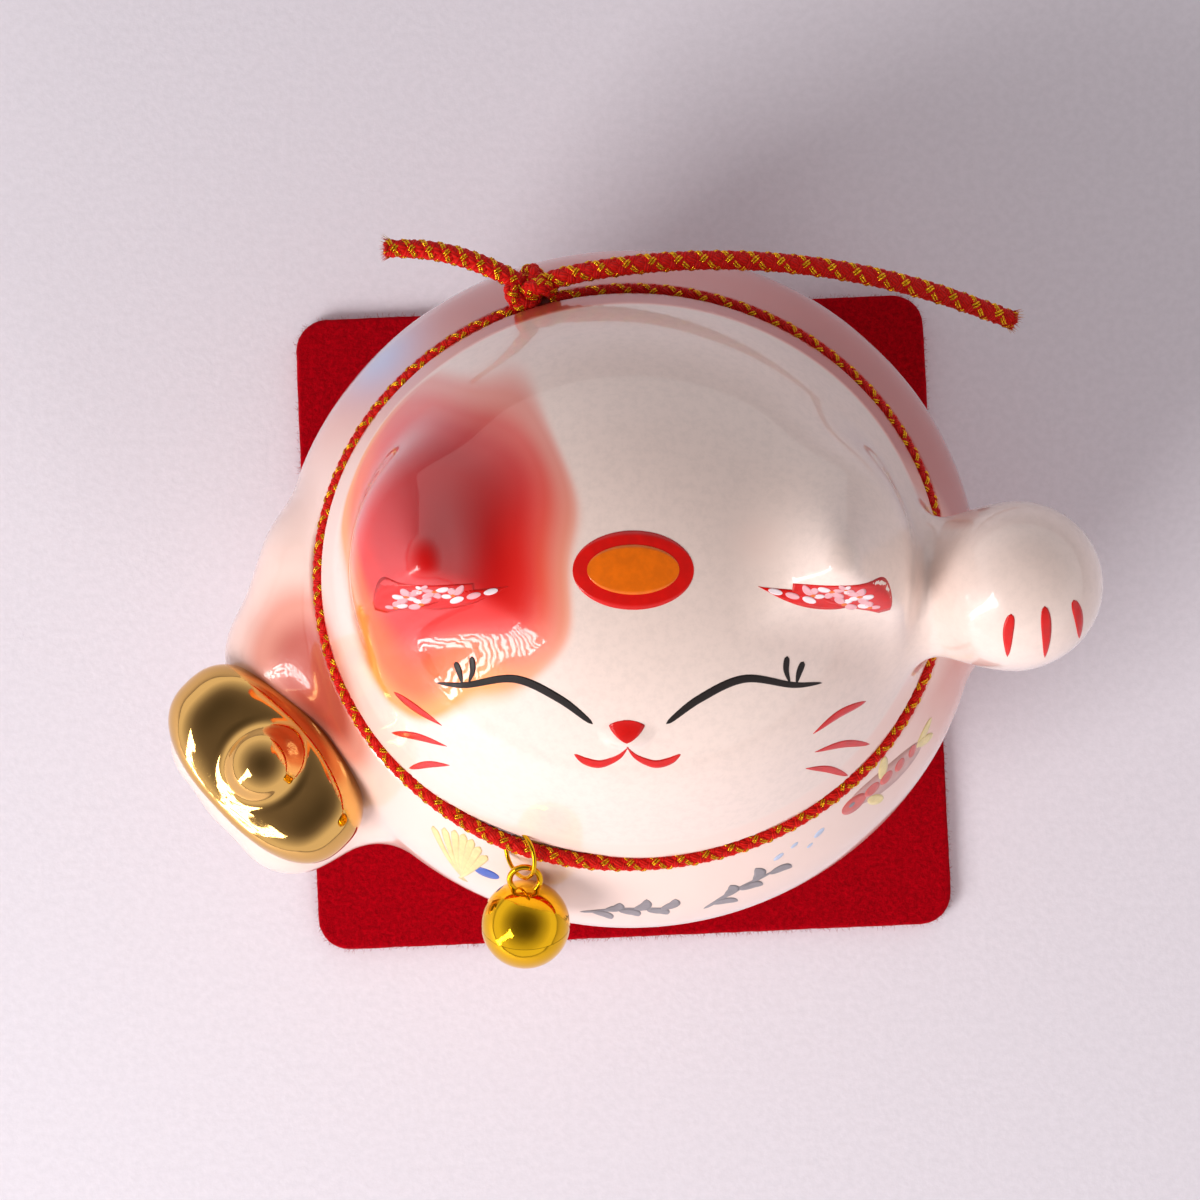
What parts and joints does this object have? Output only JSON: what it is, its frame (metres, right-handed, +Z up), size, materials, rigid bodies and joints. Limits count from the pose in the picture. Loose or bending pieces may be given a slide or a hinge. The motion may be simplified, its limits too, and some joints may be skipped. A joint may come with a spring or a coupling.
{
  "type": "beckoning cat figurine",
  "caption": "Hollow glazed ceramic cat with one paw raised and a gold ingot in the other, a braided neck cord with a round bell, on a square felt mat.",
  "frame": {"origin": "on the underside of the felt mat, straight below the middle of the cat's body", "axes": "+Z up, -Y the way the cat faces, +X towards its raised paw"},
  "size_m": [0.1176, 0.0942, 0.0889],
  "materials": {
    "ceramic": "glossy",
    "gilding": "mirror gold lustre",
    "cord": "braided, with gold thread",
    "wire": "bright plated",
    "bell": "bright plated",
    "pellet": "plain",
    "felt": "matt felt"
  },
  "bodies": {
    "figurine": {"body_shell": "ceramic", "raised_arm": "ceramic", "holding_arm": "ceramic", "tail_stub": "ceramic", "gold_ingot": "gilding", "collar_cord": "cord", "cord_knot": "cord", "cord_end_long": "cord", "cord_end_short": "cord", "felt_mat": "felt"},
    "ring": {"jump_ring": "wire"},
    "bell": {"bell_cap": "bell", "bell_cup": "bell", "bell_loop": "bell"},
    "pellet": {"bell_pellet": "pellet"}
  },
  "joints": [
    {"name": "ring_swing", "type": "hinge", "parent": "figurine", "child": "ring", "pos_m": [-0.0136, -0.03351, 0.05861], "axis": [-0.9487, 0.3139, -0.0381], "range_deg": [0, 85]},
    {"name": "bell_swing", "type": "hinge", "parent": "ring", "child": "bell", "pos_m": [-0.01322, -0.03724, 0.05748], "axis": [-0.5653, 0.019, -0.8246], "range_deg": [0, 35]},
    {"name": "pellet_rattle", "type": "slide", "parent": "bell", "child": "pellet", "axis": [0, 0, 1], "range_m": [0, 0.0068]}
  ]
}
